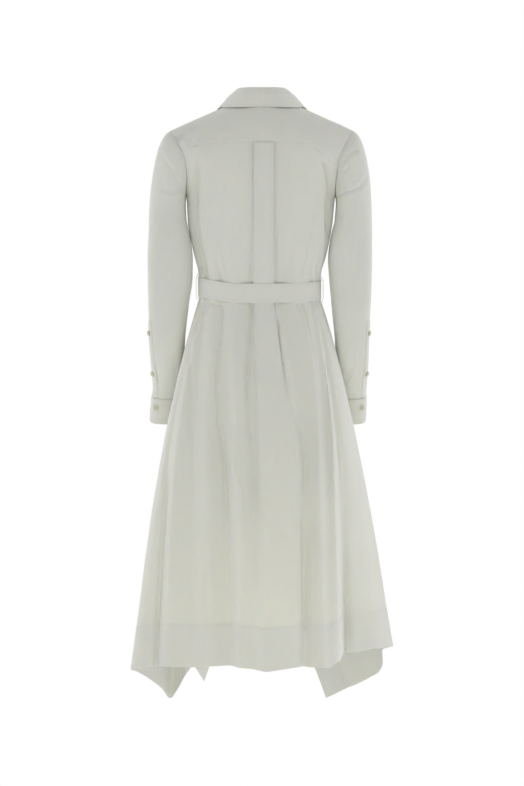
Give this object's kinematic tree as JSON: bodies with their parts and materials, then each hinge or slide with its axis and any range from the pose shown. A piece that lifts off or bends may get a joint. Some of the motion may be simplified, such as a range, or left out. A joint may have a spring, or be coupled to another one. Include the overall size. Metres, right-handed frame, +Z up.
{
  "type": "shirt dress",
  "caption": "Long-sleeved belted shirt dress as worn, with a pointed collar, yoke, centre box pleat, flared skirt with a deep hem band, longer in front.",
  "frame": {"origin": "between the shoulders, on the dress's middle plane, at the height of the back of the neck, where the wearer's shoulders carry it", "axes": "+Z up, -Y out of the dress's front, +X to the wearer's left"},
  "size_m": [0.52, 0.4715, 1.2454],
  "materials": {
    "poplin": "crisp off-white cotton poplin, plain weave, matt",
    "covered_buckle": "frame covered in the same off-white poplin",
    "button": "tan, horn-like, softly polished"
  },
  "bodies": {
    "root": {"yoke": "poplin", "back": "poplin", "back_hem_band": "poplin", "front_left": "poplin", "front_left_hem_band": "poplin", "front_left_facing": "poplin", "front_right": "poplin", "front_right_hem_band": "poplin", "front_right_facing": "poplin", "sleeve_left": "poplin", "sleeve_right": "poplin", "cuff_left": "poplin", "cuff_right": "poplin", "sleeve_placket_left": "poplin", "sleeve_placket_right": "poplin", "collar_stand": "poplin", "collar": "poplin", "belt": "poplin", "belt_loop_left": "poplin", "belt_loop_right": "poplin", "belt_buckle": "covered_buckle", "front_button_1": "button", "front_button_2": "button", "front_button_3": "button", "front_button_4": "button", "front_button_5": "button", "front_button_6": "button", "front_button_7": "button", "front_button_8": "button", "collar_button": "button", "sleeve_button_left_1": "button", "sleeve_button_left_2": "button", "sleeve_button_right_1": "button", "sleeve_button_right_2": "button", "cuff_button_left": "button", "cuff_button_right": "button"}
  },
  "joints": []
}
